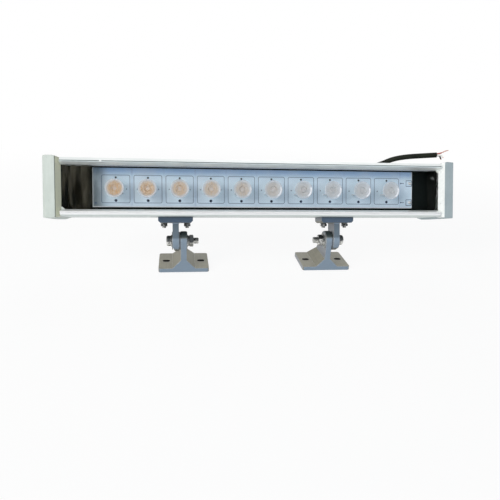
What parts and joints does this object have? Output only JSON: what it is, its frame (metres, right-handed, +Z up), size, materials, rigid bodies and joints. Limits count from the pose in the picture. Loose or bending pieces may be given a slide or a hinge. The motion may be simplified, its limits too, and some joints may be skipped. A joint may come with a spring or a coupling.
{
  "type": "wall_washer_light",
  "caption": "Linear outdoor wall washer light: silver aluminium profile with a glass front, blue LED board and orange lenses, on two toothed tilting brackets, with a short bare-ended cable.",
  "frame": {"origin": "On the surface under the two feet, at the middle of the light's length and depth at rest, measured without the free cable and its cores.", "axes": "+X runs along the light towards the viewer's right when facing the glass, +Y goes from the glass to the back of the light, +Z is up."},
  "size_m": [0.5133, 0.1432, 0.1525],
  "materials": {
    "housing_metal": "silver anodised extrusion, satin",
    "cap_metal": "silver painted casting, satin",
    "bracket_metal": "grey extruded and sawn, satin",
    "clear_glass": "clear toughened pane",
    "board_coating": "pale blue solder resist with thin dark lines",
    "black_tray": "black sheet tray",
    "lens_plastic": "clear acrylic collimator that shows the yellow phosphor below it",
    "led_package": "yellow phosphor dome on a white base",
    "grey_pad": "soft heat pad",
    "driver_case": "potted black case",
    "wire_covering": "insulated wire",
    "gland_plastic": "black nylon",
    "black_rubber": "black rubber",
    "cable_jacket": "black rubber jacket, satin",
    "red_core": "red insulated core with a copper end",
    "pale_core": "cream insulated core",
    "steel": "stainless fasteners"
  },
  "bodies": {
    "left_foot": {"left_foot": "bracket_metal", "left_pivot_bolt": "steel", "left_flat_washers": "steel", "left_spring_washers": "steel", "left_pivot_nut": "steel"},
    "left_bracket": {"left_tee_bracket": "bracket_metal", "left_slot_bolts": "steel", "left_slot_washers": "steel", "left_slot_nuts": "steel"},
    "right_bracket": {"right_tee_bracket": "bracket_metal", "right_slot_bolts": "steel", "right_slot_washers": "steel", "right_slot_nuts": "steel"},
    "right_foot": {"right_foot": "bracket_metal", "right_pivot_bolt": "steel", "right_flat_washers": "steel", "right_spring_washers": "steel", "right_pivot_nut": "steel"},
    "lamp": {"board_leads": "wire_covering", "board_tray": "black_tray", "core_black": "cable_jacket", "core_red": "red_core", "core_white": "pale_core", "driver": "driver_case", "driver_input_cores": "wire_covering", "front_glass": "clear_glass", "gland_body": "gland_plastic", "gland_locknut": "gland_plastic", "gland_nut": "gland_plastic", "gland_sleeve": "black_rubber", "gland_washer": "black_rubber", "glass_seal": "black_rubber", "housing": "housing_metal", "inner_cable": "cable_jacket", "led_board": "board_coating", "led_emitters": "led_package", "left_cap_gasket": "black_rubber", "left_cap_screws": "steel", "left_end_cap": "cap_metal", "lens_01": "lens_plastic", "lens_02": "lens_plastic", "lens_03": "lens_plastic", "lens_04": "lens_plastic", "lens_05": "lens_plastic", "lens_06": "lens_plastic", "lens_07": "lens_plastic", "lens_08": "lens_plastic", "lens_09": "lens_plastic", "lens_10": "lens_plastic", "right_cap_gasket": "black_rubber", "right_cap_screws": "steel", "right_end_cap": "cap_metal", "supply_cable": "cable_jacket", "thermal_pad": "grey_pad"}
  },
  "joints": [
    {"name": "lamp_tilt", "type": "hinge", "parent": "left_foot", "child": "left_bracket", "pos_m": [-0.0964, -0.01433, 0.038], "axis": [1, 0, 0], "range_deg": [-40, 80]},
    {"name": "left_bracket_slide", "type": "slide", "parent": "left_bracket", "child": "lamp", "axis": [1, 0, 0], "range_m": [-0.055, 0.1]},
    {"name": "right_bracket_slide", "type": "slide", "parent": "lamp", "child": "right_bracket", "axis": [1, 0, 0], "range_m": [-0.055, 0.1]},
    {"name": "right_foot_tilt", "type": "hinge", "parent": "right_bracket", "child": "right_foot", "pos_m": [0.0992, -0.01433, 0.038], "axis": [1, 0, 0], "range_deg": [-80, 40]}
  ],
  "couplings": [
    {"joint": "right_foot_tilt", "follows": "lamp_tilt", "ratio": -1}
  ]
}
